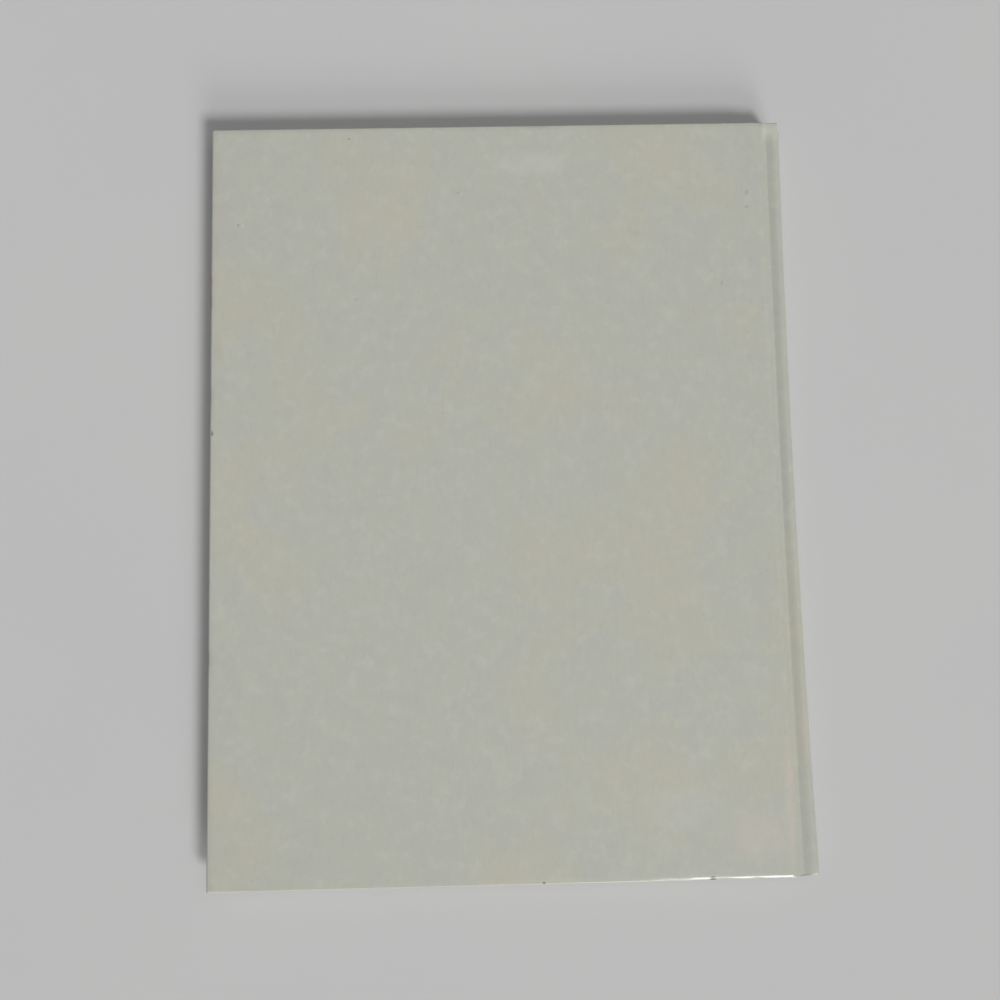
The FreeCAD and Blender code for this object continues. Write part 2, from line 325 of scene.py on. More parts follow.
def makeLaminate(name, marks):
    # glossy film over printed paper: soft patches of three near tones, fine fibre, a few
    # specks, hairline scratches, worn edges, and the marks that are listed, among them painted
    # shade and painted highlights on dents and painted shade at the spine's tail end
    look = laminateLook
    finish = Finish(name, look["roughness"])
    patch = finish.between(finish.noise(110, 3), 0.4, 0.62)
    colour = finish.mix(patch, look["green"], look["grey"])
    yellowing = finish.between(finish.noise(24, 4), 0.5, 0.66, 0.0, 0.8)
    colour = finish.mix(yellowing, colour, look["yellow"])
    upright = finish.noise(700, 3, finish.stretched((1.0, 0.35, 1.0)))
    fibre = finish.between(upright, 0.45, 0.75, 0.0, 0.22)
    colour = finish.mix(fibre, colour, look["fibre"])
    mottle = finish.between(finish.noise(230, 4), 0.48, 0.76, 0.0, look["mottleShare"])
    colour = finish.mix(mottle, colour, look["mottle"])
    specks = finish.between(finish.noise(650, 1), 0.79, 0.82, 0.0, 0.3)
    colour = finish.mix(specks, colour, look["speck"])
    # the marks' colours go on here, painted shade and painted highlights among them
    for x, y, radius, tint, strength, stretch in marks.values():
        inside = finish.spot(x * mm, y * mm, radius * mm, stretch=stretch)
        ragged = finish.between(finish.noise(1.2 / (radius * mm), 2), 0.3, 0.62, 0.5, 1.0)
        share = finish.maths("MULTIPLY", finish.maths("MULTIPLY", inside, ragged), strength)
        colour = finish.mix(share, colour, tint)
    worn = finish.attribute("wear")
    patchy = finish.between(finish.noise(260, 4), 0.45, 0.72)
    rubbed = finish.maths("MULTIPLY", worn, patchy)
    colour = finish.mix(finish.maths("MULTIPLY", rubbed, 0.45), colour, look["worn"])
    bare = finish.between(finish.maths("MULTIPLY", worn, finish.noise(420, 3)), 0.6, 0.66)
    colour = finish.mix(bare, colour, look["board"])
    hairlines = finish.noise(1300, 1, finish.stretched((1.0, 0.02, 1.0), 62))
    crossed = finish.noise(1300, 1, finish.stretched((1.0, 0.03, 1.0), -35))
    scratch = finish.maths(
        "MAXIMUM", finish.between(hairlines, 0.74, 0.8), finish.between(crossed, 0.75, 0.81)
    )
    colour = finish.mix(finish.maths("MULTIPLY", scratch, 0.12), colour, look["scratch"])
    scuffed = finish.noise(45, 4)
    rough = finish.between(scuffed, 0.35, 0.7, look["roughness"] - 0.03, look["roughness"] + 0.05)
    rough = finish.maths("ADD", rough, finish.maths("MULTIPLY", scratch, 0.08))
    rough = finish.maths("ADD", rough, finish.maths("MULTIPLY", rubbed, 0.2))
    peel = finish.bump(finish.noise(330, 2), 0.015 * mm, 0.5)
    if marks:
        peel = tailRoll(finish, peel)
    fine = finish.bump(finish.noise(1600, 2), 0.005 * mm, 0.5, peel)
    lined = finish.bump(finish.maths("MULTIPLY", scratch, -1.0), 0.003 * mm, 0.5, fine)
    finish.shader.inputs["Coat Weight"].default_value = look["film"]
    finish.shader.inputs["Coat Roughness"].default_value = look["filmRoughness"]
    finish.shader.inputs["Coat IOR"].default_value = look["filmIndex"]
    finish.feed(finish.shader.inputs["Coat Normal"], peel)
    finish.shader.inputs["Specular IOR Level"].default_value = 0.3
    return finish.finish(colour, rough, lined)


tailRollValues = {
    "width": 0.95 * mm,     # of the strip that slopes
    "inset": 0.05 * mm,     # from the book's tail end
    "fall": 0.45 * mm,
    "from": 36 * mm,        # X where it begins to show, and where it is full
    "to": 76 * mm,
}


def tailRoll(finish, onto):
    # the cover's tail edge is rubbed down near the spine: over a strip's width the height goes
    # evenly from 0 at the edge to the fall, broken up where it begins, on the board alone
    values = tailRollValues
    split = finish.node("ShaderNodeSeparateXYZ", Vector=finish.place)
    inward = finish.maths("ADD", split.outputs["Y"], sheetHigh.y - values["inset"])
    height = finish.maths("DIVIDE", inward, values["width"])
    height = finish.maths("MINIMUM", finish.maths("MAXIMUM", height, 0.0), 1.0)
    along = finish.between(split.outputs["X"], values["from"], values["to"])
    broken = finish.between(finish.noise(300, 2, finish.stretched((1.0, 0.1, 0.1))), 0.3, 0.5)
    share = finish.maths("MULTIPLY", along, finish.maths("MAXIMUM", broken, along))
    onBoard = finish.between(split.outputs["X"], boardHigh.x - 1.5 * mm, boardHigh.x, 1.0, 0.0)
    return finish.bump(height, values["fall"], finish.maths("MULTIPLY", share, onBoard), onto)


endpaperLook = {
    "tones": (srgb(226, 223, 213), srgb(218, 214, 202)),
    "fibre": srgb(196, 188, 172),
    "roughness": 0.75,
}


def makePaper(name, look):
    # uncoated paper: clouded formation, short fibres, a faint tooth
    finish = Finish(name, look["roughness"], specular=0.25)
    formation = finish.between(finish.noise(180, 5, roughness=0.65), 0.35, 0.7)
    colour = finish.mix(formation, *look["tones"])
    fibres = finish.noise(900, 3, finish.stretched((1.0, 0.25, 1.0), 20))
    colour = finish.mix(finish.between(fibres, 0.62, 0.7, 0.0, 0.25), colour, look["fibre"])
    tooth = finish.bump(finish.noise(2200, 3), 0.015 * mm, 0.5)
    cockle = finish.bump(finish.noise(40, 2), 0.15 * mm, 0.35, tooth)
    return finish.finish(colour, None, cockle)


leafLook = {
    "tones": (srgb(214, 208, 194), srgb(232, 228, 217)),
    # painted shade in the gaps between leaves
    "gap": srgb(150, 143, 128),
    "dust": srgb(188, 180, 162),
}


def makeLeafEdges(name, look):
    # the cut edges of the leaves: each leaf has its own tone, with dusty streaks along it, and
    # painted shade in the gaps between leaves
    finish = Finish(name, 0.85, specular=0.2)
    leafTone = finish.between(finish.attribute("leafTone"), 0.0, 1.0)
    colour = finish.mix(leafTone, *look["tones"])
    # painted shade where one leaf's edge meets the next
    colour = finish.mix(finish.attribute("leafGapShade"), colour, look["gap"])
    dust = finish.noise(500, 4, finish.stretched((0.08, 0.08, 2.5)))
    colour = finish.mix(finish.between(dust, 0.5, 0.75, 0.0, 0.35), colour, look["dust"])
    cut = finish.bump(finish.noise(3500, 3), 0.02 * mm, 0.6)
    return finish.finish(colour, None, cut)


greyBoardLook = {
    "tones": (srgb(132, 126, 114), srgb(154, 148, 135)),
    "paleFibre": srgb(196, 190, 176),
    "darkFibre": srgb(84, 78, 70),
}


def makeGreyBoard(name, look):
    # binder's board: grey pulp with pale and dark fibres, pressed in layers
    finish = Finish(name, 0.9, specular=0.2)
    pulp = finish.between(finish.noise(350, 6, roughness=0.7), 0.35, 0.7)
    colour = finish.mix(pulp, *look["tones"])
    pale = finish.between(finish.noise(1300, 2), 0.64, 0.7, 0.0, 0.6)
    colour = finish.mix(pale, colour, look["paleFibre"])
    fibres = finish.noise(1100, 2, finish.stretched((1, 1, 1), 50))
    dark = finish.between(fibres, 0.68, 0.73, 0.0, 0.7)
    colour = finish.mix(dark, colour, look["darkFibre"])
    layers = finish.noise(60, 3, finish.stretched((1, 1, 60)))
    grain = finish.bump(finish.noise(1400, 4), 0.05 * mm, 0.6)
    return finish.finish(colour, None, finish.bump(layers, 0.05 * mm, 0.4, grain))


liningLook = {
    "tones": (srgb(164, 130, 90), srgb(181, 148, 106)),
    "rib": srgb(140, 108, 72),
}


def makeLiningPaper(name, look):
    # brown kraft paper, ribbed, with dried glue where it shines
    finish = Finish(name, 0.7, specular=0.3)
    cloud = finish.between(finish.noise(240, 5), 0.35, 0.7)
    colour = finish.mix(cloud, *look["tones"])
    ribs = finish.noise(1800, 2, finish.stretched((1, 0.06, 1)))
    colour = finish.mix(finish.between(ribs, 0.5, 0.7, 0.0, 0.3), colour, look["rib"])
    glue = finish.between(finish.noise(120, 4), 0.5, 0.62, 0.75, 0.35)
    return finish.finish(colour, glue, finish.bump(ribs, 0.03 * mm, 0.6))


threadLook = {
    "tones": (srgb(222, 216, 200), srgb(186, 178, 160)),
    "fuzz": srgb(240, 236, 226),
}


def makeHeadbandCloth(name, look):
    # cotton thread wound over a cord, its tape glued to the block
    finish = Finish(name, 0.85, specular=0.2, sheen=0.3)
    colour = finish.mix(finish.attribute("thread"), *look["tones"])
    fuzz = finish.between(finish.noise(2400, 4), 0.4, 0.7, 0.0, 0.35)
    colour = finish.mix(fuzz, colour, look["fuzz"])
    return finish.finish(colour, None, finish.bump(finish.noise(5000, 3), 0.03 * mm, 0.6))


backLaminate = makeLaminate("laminatedSheetBack", coverMarks)
frontLaminate = makeLaminate("laminatedSheetFront", {})
endpaperPaper = makePaper("endpaperStock", endpaperLook)
leafPaper = makeLeafEdges("leafEdges", leafLook)
greyBoard = makeGreyBoard("greyBoard", greyBoardLook)
liningPaper = makeLiningPaper("kraftLining", liningLook)
headbandCloth = makeHeadbandCloth("headbandThread", threadLook)
print("materials made")


# The laminated sheet runs in one piece from a cover over the joint and the spine's shoulder to
# the crown of the spine, where the two covers' halves meet.
skinValues = {
    "thickness": 0.17 * mm,
    "edgeRadius": 0.7 * mm,      # over the board's outer edges
    "hingeRadius": 0.4 * mm,     # over the same edges where they come to the hinge
    "foldRadius": 0.25 * mm,     # where the sheet turns in under the board
    "jointRadius": 0.18 * mm,    # both folds at the ends of the joint, with no board between
    "turnIn": 15 * mm,
    "panelEnd": 0.12 * mm,       # past the board's edge, where the sheet starts to fall
    "hingePull": 0.8 * mm,       # the pull of the groove's curve at its top and at its floor
    "floorPull": 0.9 * mm,
    "grooveEnd": 2.85 * mm,      # from the board's edge to the groove's floor
    "grooveBow": 0.45,           # share of the spine's bow that the groove's floor takes
    "crest": (0.33 * mm, 1.22 * mm),  # how far the shoulder's crest lies before the block's
                                 # corner, and below the panel
    "shoulderAngle": 20.0,       # where the shoulder has run into the spine's arc, in degrees
    "spineRadius": 8.78 * mm,
    "spineBow": 1.5 * mm,
    "spineLean": 0.4 * mm,       # the crown stands out more at the tail and less at the head
    "cardThickness": 0.8 * mm,
    "foldDepth": 1.22 * mm,      # the spine's card between two layers of the sheet
    "tailSlant": 1.0 * mm,       # how far the crown's tail end lies inside the joint's
    "headCrush": (1.8 * mm, 3.4 * mm),  # how far the crown is knocked in, and over what length
    "tailCrush": (0.6 * mm, 1.6 * mm),
    "crushReach": 2.2 * mm,      # from the block's corner to where the crushing is full
    "capLength": 6 * mm,         # the joint's end is pushed up at the head
    "capDepth": 0.5 * mm,
    "capShare": 0.8,
    "gridStep": 1.8 * mm,
    "dimple": (-101.0 * mm, 104.6 * mm),
    "dimpleDepth": 0.09 * mm,
    "dimpleRadius": 0.8 * mm,
    "sink": 0.07 * mm,           # the panel's mean depth below the board's covered edges
    "waviness": 0.025 * mm,
    "dentDepth": 0.09 * mm,
    "creases": ((98.6, 88.0), (100.3, 72.0), (102.1, 60.0)),  # X of each, and Y where it ends
    "creaseHeight": 0.035 * mm,
    "creaseWidth": 0.35 * mm,
}


def skinProfile(values):
    # The sheet's outer line from fore edge to crown at mid-length, as (x, z); the line of its
    # folded-in end beneath; the end's edge radius; and how much of the spine's bow each point
    # takes. The panel is straight, the groove and the shoulder are cubic curves, the spine is
    # an arc.
    top = sheetHigh.z
    floor = boardLow.z + values["jointRadius"]
    under = sheetLow.z
    axisX = spineAxis(values)
    near = [values["dimple"][0]]
    foreX = sheetLow.x + values["edgeRadius"]
    endX = boardHigh.x + values["panelEnd"]
    panelX = refined(foreX, endX, values["gridStep"], near, 2.4 * mm, 0.3 * mm)
    floorX = boardHigh.x + values["grooveEnd"]
    groove = bezier(
        (endX, top), (endX + values["hingePull"], top),
        (floorX - values["floorPull"], floor), (floorX, floor), 16,
    )
    crest = np.array((cornerX - values["crest"][0], top - values["crest"][1]))
    slope = bezier(
        (floorX, floor), (floorX + 0.35 * mm, floor), crest - (1.2 * mm, 0), crest, 10
    )
    turned = math.radians(values["shoulderAngle"])

    def onArc(radius, angle):
        # the spine's centre plus radius * (cos, sin)
        return np.stack([axisX + radius * np.cos(angle), midHeight + radius * np.sin(angle)], -1)

    arcStart = onArc(values["spineRadius"], turned)
    shoulder = bezier(
        crest, crest + (0.8 * mm, 0),
        arcStart + 0.75 * mm * np.array([-math.sin(turned), math.cos(turned)]), arcStart, 12,
    )
    angles = np.concatenate([np.linspace(turned, 0.02, 10), [0.012, 0.0]])
    arc = onArc(values["spineRadius"], angles)
    foldRadius = values["spineRadius"] - values["foldDepth"]
    foldCorner = onArc(foldRadius, math.radians(25))
    foldArc = onArc(foldRadius, angles)
    foldSlope = np.linspace((floorX, under), foldCorner - (0.2 * mm, 0.03 * mm), 10)
    foldShoulder = bezier(
        foldSlope[-1], foldCorner, foldCorner + (0.12 * mm, -0.25 * mm), foldArc[0], 12
    )
    panel = np.stack([panelX, np.full(len(panelX), top)], -1)
    outer = np.concatenate([panel, groove[1:], slope[1:], shoulder[1:], arc[1:]])
    flat = np.concatenate([panel, groove[1:]]) * (1, 0) + (0, under)
    inner = np.concatenate([flat, foldSlope[1:], foldShoulder[1:], foldArc[1:]])

    def along(counts):
        # one value for each point, from pairs of a count and the values at its two ends
        return np.concatenate([np.linspace(a, b, n + 1)[1:] for n, a, b in counts])

    board, joint, bowed = values["edgeRadius"], values["jointRadius"], values["grooveBow"]
    firm = values["hingeRadius"]
    lengths = [len(panelX), 15, 9, 11, len(angles) - 1]
    starts, ends = (board, firm, joint, firm, firm), (firm, joint, firm, firm, board)
    radius = along(zip(lengths, starts, ends))
    bowShare = along(zip(lengths, (0, 0, bowed, 1, 1), (0, bowed, 1, 1, 1)))
    return outer, inner, radius, bowShare, floorX


def spineAxis(values):
    # X of the centre of the spine's arc at mid-length; at the tail the crown meets its box
    crown = spineHigh.x - values["spineBow"] - values["spineLean"]
    return crown - values["spineRadius"]


def spineShift(x, y, values):
    # how far the spine stands out along its length: bow * h^2 - lean * h with h from -1 at the
    # tail to 1 at the head, less its knocked-in corners, crush * smooth(t / 0.7), which grow
    # from the block's corner to the crown
    h = y / sheetHigh.y
    bow = values["spineBow"] * h ** 2 - values["spineLean"] * h
    depth = np.where(y > 0, values["headCrush"][0], values["tailCrush"][0])
    length = np.where(y > 0, values["headCrush"][1], values["tailCrush"][1])
    t = np.clip((np.abs(y) - sheetHigh.y + values["hingeRadius"]) / length + 1, 0, 1)
    return bow - depth * smooth(t / 0.7) * smooth((x - cornerX) / values["crushReach"])


def headCap(z, y, values):
    # how far the joint and the shoulder are pushed up at the head: a share of what they lie
    # below the cap's level, and nothing at the crown
    near = smooth((y - sheetHigh.y) / values["capLength"] + 1)
    below = np.maximum(sheetHigh.z - values["capDepth"] - z, 0)
    return values["capShare"] * near * below * smooth((z - boardLow.z + 0.3 * mm) / (0.5 * mm))


def panelRelief(x, y, values, seed, marked):
    # height added to the panel, never above it: slow waves of the pressed board; on the marked
    # cover also a dimple with a raised rim and three creases that fade from the head
    height = waves(x, y, seed, 90 * mm) + 0.3 * waves(x, y, seed + 1, 22 * mm)
    height = np.minimum(values["waviness"] * height - values["sink"], 0)
    toHinge = smooth((x - boardHigh.x + 9 * mm) / (8 * mm))
    height = height * (1 - toHinge) - 0.5 * values["sink"] * toHinge
    if marked:
        away = np.hypot(x - values["dimple"][0], y - values["dimple"][1]) / values["dimpleRadius"]
        height = height - values["dimpleDepth"] * np.exp(-away ** 4)
        height = height + 0.25 * values["dimpleDepth"] * np.exp(-((away - 1.5) / 0.3) ** 2)
        for creaseX, creaseEnd in values["creases"]:
            fade = smooth((y - creaseEnd * mm) / (40 * mm))
            aside = (x - creaseX * mm) / values["creaseWidth"]
            height = height + values["creaseHeight"] * fade * np.exp(-aside ** 2)
    return height


def edgeDents(place, depth, seed):
    # depth of the knocks along an edge: a few smooth pits at seeded places, and faint waves
    rng = np.random.default_rng(seed)
    total = 0.06 * depth * np.maximum(0, 1.5 + waves(place, 0 * place, seed, 9 * mm))
    for where, size, strength in rng.random((26, 3)):
        centre = place.min() + where * np.ptp(place)
        width = (1.2 + 3.5 * size) * mm
        total = total + depth * strength ** 3 * np.exp(-((place - centre) / width) ** 2)
    return total


def makeSkin(name, side, material, seed, values):
    # The panel is a grid over the profile and from tail to head. Around its three free sides
    # runs a strip with the same points: over the edge, down the side, under, and in.
    outer, inner, radius, bowShare, floorX = skinProfile(values)
    count = len(outer)
    marked = side == "back"
    headEdge = sheetHigh.y - radius
    toCrown = np.clip((outer[:, 0] - floorX) / (outer[-1, 0] - floorX), 0, 1)
    tailEdge = sheetLow.y + values["tailSlant"] * toCrown + radius
    near = [values["dimple"][1]]
    shares = refined(sheetLow.y, sheetHigh.y, values["gridStep"], near, 2.4 * mm, 0.3 * mm)
    shares = (shares - sheetLow.y) / (sheetHigh.y - sheetLow.y)

    y = tailEdge[:, None] + (headEdge - tailEdge)[:, None] * shares
    x = outer[:, :1] + bowShare[:, None] * spineShift(outer[:, :1], y, values)
    fade = smooth((cornerX - x) / (4 * mm))
    z = outer[:, 1:] + panelRelief(x, y, values, seed, marked) * fade
    z = z + headCap(outer[:, 1:], y, values) * smooth((x - boardHigh.x) / (1.2 * mm))
    panel = np.stack([x, y, z], -1).reshape(-1, 3)
    panelFaces = gridFaces(count, len(shares))[:, ::-1]

    # the strip's samples: tail side from crown to fore edge, a corner, fore edge, a corner, head
    turns = 5
    ones = np.ones
    foreSamples = np.zeros(2 * turns + len(shares), int)
    index = np.concatenate([np.arange(count)[::-1], foreSamples, np.arange(count)])
    share = np.concatenate([0 * ones(count + turns), shares, ones(turns + count)])
    fan = np.linspace(0, 90, turns + 2)[1:-1]
    heading = np.radians(np.concatenate([
        -90 * ones(count), -90 - fan, 180 * ones(len(shares)), 180 - fan, 90 * ones(count),
    ]))
    outward = np.stack([np.cos(heading), np.sin(heading), 0 * heading], -1)
    tangent = np.gradient(outer, axis=0)
    tangent = tangent / np.linalg.norm(tangent, axis=1)[:, None]
    tangent[0], tangent[-1] = (1, 0), (0, -1)
    into = np.stack([tangent[:, 1], 0 * tangent[:, 0], -tangent[:, 0]], -1)[index]

    placeY = tailEdge[index] + (headEdge - tailEdge)[index] * share
    shift = bowShare[index] * spineShift(outer[index, 0], placeY, values)
    start = np.stack([outer[index, 0] + shift, placeY, outer[index, 1]], -1)
    fold = np.stack([inner[index, 0] + shift, placeY, inner[index, 1]], -1)
    inJoint = smooth((start[:, 0] - boardHigh.x) / (1.2 * mm))
    level = start[:, 2].copy()
    flatFold = fold[:, 2].copy()
    lift = panelRelief(start[:, 0], placeY, values, seed, marked)
    start[:, 2] += lift * smooth((cornerX - start[:, 0]) / (4 * mm))
    start[:, 2] += headCap(level, placeY, values) * inJoint
    fold[:, 2] += 0.7 * headCap(level, placeY, values) * inJoint
    back = start - fold
    back = back / np.linalg.norm(back, axis=1)[:, None]
    edge = radius[index][:, None]
    foldEdge = np.minimum(values["foldRadius"], edge)

    run = np.concatenate([[0], np.cumsum(np.linalg.norm(np.diff(start, axis=0), axis=1))])
    dent = edgeDents(run, values["dentDepth"], seed + 2)[:, None]
    calm = smooth((edge - values["jointRadius"]) / (0.2 * mm))
    dent = dent * calm * (index[:, None] < count - 20)
    rows, wear = [], []
    for angle in np.radians(np.linspace(0, 90, 8)):
        over = edge * (1 - math.cos(angle)) * into + edge * math.sin(angle) * outward
        pushed = dent * math.sin(2 * angle) * (into - outward) * 0.7
        rows.append(start + over + pushed)
        wear.append(math.sin(2 * angle) ** 0.5 if 0 < angle < 1.57 else 0.0)
    sideTop = rows[-1]
    sideBottom = fold + edge * outward + foldEdge * back
    for part in (0.33, 0.66, 1.0):
        rows.append(sideTop * (1 - part) + sideBottom * part)
        wear.append(0.25)
    for angle in np.radians((22.5, 45, 67.5, 90)):
        reach = edge - foldEdge + foldEdge * math.cos(angle)
        rows.append(fold + reach * outward + foldEdge * (1 - math.sin(angle)) * back)
        wear.append(0.5 if angle < 1.5 else 0.1)
    scaledFrom = boardHigh.x - 4 * mm
    foreX = start[:, 0].min()
    far = np.where(share > 0.5, headEdge[index], -tailEdge[index])
    for inset in np.array((0.013, 0.067, 0.17, 0.33, 0.67, 1.0)) * values["turnIn"]:
        shrink = (scaledFrom - foreX - inset) / (scaledFrom - foreX)
        drawn = scaledFrom - (scaledFrom - fold[:, 0]) * shrink
        inX = np.where(fold[:, 0] < scaledFrom, drawn, fold[:, 0])
        inY = fold[:, 1] * (1 - inset / far)
        inZ = flatFold + 0.7 * headCap(level, inY, values) * inJoint
        rows.append(np.stack([inX, inY, inZ], -1))
        wear.append(0.0)
    stripFaces = gridFaces(len(rows), len(index), len(panel))
    points = np.concatenate([panel, np.stack(rows).reshape(-1, 3)])
    faces = np.concatenate([panelFaces, stripFaces])
    knocked = np.tile(0.35 + 0.65 * smooth(dent[:, 0] / (0.04 * mm)), len(rows))
    worn = np.concatenate([np.zeros(len(panel)), np.repeat(np.array(wear), len(index)) * knocked])
    lower = side == "front"
    if lower:
        points = points * (1, 1, -1) + (0, 0, 2 * midHeight)
    skin = newPiece(name, points, faces, flip=lower, values={"wear": worn})
    thicken(skin, values["thickness"])
    finishPiece(skin, material)
    keepInside(skin)
    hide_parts(side + "_cover_sheet", "spine_sheet")
    hinge(skin)


def keepInside(piece):
    # points that a tight fold has pushed past the book's box are drawn back onto it
    places = np.empty(3 * len(piece.data.vertices))
    piece.data.vertices.foreach_get("co", places)
    held = np.clip(places.reshape(-1, 3), tuple(cadLow), tuple(cadHigh))
    piece.data.vertices.foreach_set("co", held.ravel())
    piece.data.update()


def hinge(piece):
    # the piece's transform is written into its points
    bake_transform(piece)


def makeSpineCard(values):
    # the spine's card: the skin's arc drawn in by one layer of sheet, from head to tail, with
    # the same bow and knocked-in corners
    gap = values["thickness"] + 0.03 * mm
    radius = values["spineRadius"] - gap
    axisX = spineAxis(values)
    limit = values["shoulderAngle"] - 1
    angle = np.radians(np.linspace(-limit, limit, 21))[:, None]
    half = boardHigh.y - 0.1 * mm
    tail = values["tailSlant"] - half
    y = refined(tail, half, 4 * mm, [tail, half], 3.6 * mm, 0.3 * mm)[None, :]
    x = axisX + radius * np.cos(angle)
    x = x + spineShift(x + gap, y, values)
    z = midHeight + radius * np.sin(angle) + 0 * y
    points = np.stack([x, y + 0 * x, z], -1).reshape(-1, 3)
    card = newPiece("spineCard", points, gridFaces(21, y.size)[:, ::-1], flip=True, merge=False)
    thicken(card, values["cardThickness"])
    finishPiece(card, greyBoard)
    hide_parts("spine_board")
    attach(card, "text_block")


makeSkin("backCoverSkin", "back", backLaminate, 11, skinValues)
makeSkin("frontCoverSkin", "front", frontLaminate, 41, skinValues)
makeSpineCard(skinValues)
print("cover skins made")


endpaperValues = {
    "thickness": 0.13 * mm,
    "stepWidth": 1.4 * mm,       # how softly the paper goes over a turn-in's edge
    "window": 15 * mm,           # turn-in, from the board's edge
    "grid": (110, 120),
    "lift": 0.01 * mm,           # off the flyleaf at the block's corner
}


def makeEndpaper(name, side, seed, values):
    # The pasted half, continued over the joint to the block's corner. Height is the rim's
    # height, plus the window's drop behind smooth steps, and falls to the flyleaf at the corner.
    nx, ny = values["grid"]
    xStart, xEnd = pastedLow.x, cornerX - 0.05 * mm
    s = np.linspace(0, 1, nx)
    xLine = xStart + (xEnd - xStart) * (s - 0.12 * np.sin(2 * math.pi * s) / math.pi)
    xLine = np.sort(np.concatenate([xLine, np.linspace(jointX - 3 * mm, xEnd, 26)[:-1]]))
    yLine = np.linspace(pastedLow.y, pastedHigh.y, ny)
    x, y = np.meshgrid(xLine, yLine, indexing="ij")
    wide = values["stepWidth"]
    inX = smooth((x - (boardLow.x + values["window"])) / wide)
    inY = smooth((boardHigh.y - values["window"] - np.abs(y)) / wide)
    drop = pastedHigh.z - values["thickness"] - pastedLow.z - 0.01 * mm
    z = pastedLow.z + 0.01 * mm + drop * inX * inY
    z = z + 0.012 * mm * waves(x, y, seed, 30 * mm) * inX * inY
    toCorner = smooth((x - jointX - 0.6 * mm) / (cornerX - jointX - 0.8 * mm))
    z = z * (1 - toCorner) + (leafHigh.z + values["lift"]) * toCorner
    points = np.stack([x, y, z], -1).reshape(-1, 3)
    faces = gridFaces(len(xLine), ny)  # faces down, towards the leaves
    lower = side == "front"
    if lower:
        points = points * (1, 1, -1) + (0, 0, 2 * midHeight)
    paper = newPiece(name, points, faces, flip=lower, merge=False)
    thicken(paper, values["thickness"])
    finishPiece(paper, endpaperPaper)
    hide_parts(side + "_pastedown")
    hinge(paper)


makeEndpaper("backEndpaper", "back", 61, endpaperValues)
makeEndpaper("frontEndpaper", "front", 71, endpaperValues)
print("endpapers made")


blockValues = {
    "leaves": 38,
    "gap": 0.05 * mm,        # how far the joint between two leaves lies behind their edges
    "scatter": 0.09 * mm,    # how unevenly the leaves are cut
    "sway": 0.02 * mm,       # how each edge wanders along its length
    "spineRound": 0.5 * mm,
    "foreHollow": 0.5 * mm,
    "samples": (70, 56, 6),  # along the fore edge, the head and tail, and the spine
}


def makePageBlock(values):
    # Each row of points is a loop round the block at one height. Its fore edge lies back by
    # hollow * (1 - h^2) and its spine stands out by round * (1 - h^2), with h from -1 to 1.
    rng = np.random.default_rng(5)
    nFore, nEnd, nSpine = values["samples"]
    heights, backs, gapShade, leaf = [], [], [], []
    thick = (pagesHigh.z - pagesLow.z) / values["leaves"]
    for number in range(values["leaves"]):
        low = pagesLow.z + number * thick
        inset = values["scatter"] * rng.random() ** 2
        for share, deeper in ((0.04, 1), (0.22, 0), (0.78, 0), (0.96, 1)):
            heights.append(low + share * thick)
            backs.append(inset + deeper * values["gap"])
            gapShade.append(deeper)
            leaf.append(number)
    heights = np.array(heights)
    heights[0], heights[-1] = pagesLow.z, pagesHigh.z
    backs, gapShade, leaf = np.array(backs), np.array(gapShade), np.array(leaf)
    h = (heights - midHeight) / ((pagesHigh.z - pagesLow.z) / 2)
    foreX = pagesLow.x + values["foreHollow"] * (1 - h ** 2) + backs
    spineX = cornerX + values["spineRound"] * (1 - h ** 2) - 0.02 * mm
    headY = pagesHigh.y - backs
    counts = (nEnd, nSpine, nEnd, nFore)
    side = np.repeat(np.arange(4), counts)
    share = np.concatenate([np.linspace(0, 1, count, endpoint=False) for count in counts])
    width = (spineX - foreX)[:, None]
    length = 2 * headY[:, None]
    x = np.select(
        [side == 0, side == 1, side == 2, side == 3],
        [foreX[:, None] + width * share, spineX[:, None] + 0 * share,
         spineX[:, None] - width * share, foreX[:, None] + 0 * share],
    )
    y = np.select(
        [side == 0, side == 1, side == 2, side == 3],
        [-headY[:, None] + 0 * share, -headY[:, None] + length * share,
         headY[:, None] + 0 * share, headY[:, None] - length * share],
    )
    phase = rng.random(values["leaves"])[leaf][:, None] * 40 * mm
    sway = values["sway"] * (1 + waves(x + phase, y + 2 * phase, 8, 70 * mm)) / 2
    x = x + np.where(side == 3, np.abs(sway), 0)
    y = y + np.where(side == 0, np.abs(sway), 0) - np.where(side == 2, np.abs(sway), 0)
    z = heights[:, None] + 0 * x
    points = np.stack([x, y, z], -1).reshape(-1, 3)
    columns = len(side)
    rows = len(heights)
    faces = gridFaces(rows, columns, closed=True).tolist()
    faces.append(list(range(columns))[::-1])
    faces.append(list(range((rows - 1) * columns, rows * columns)))
    tone = np.repeat(rng.random(values["leaves"])[leaf], columns)
    # the rows in the gaps between leaves get painted shade
    marks = {"leafTone": tone, "leafGapShade": np.repeat(gapShade * 0.7, columns)}
    piece = newPiece("pageBlock", points, faces, values=marks)
    finishPiece(piece, leafPaper, crease=60)
    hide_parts("pages")
    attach(piece, "text_block")


makePageBlock(blockValues)
print("page block made")


headbandValues = {
    "beadRadius": 0.9 * mm,
    "tapeThickness": 0.3 * mm,
    "tapeLength": 10 * mm,
    "threads": 22,
    "groove": 0.1 * mm,
    "spineRound": 0.5 * mm,
}


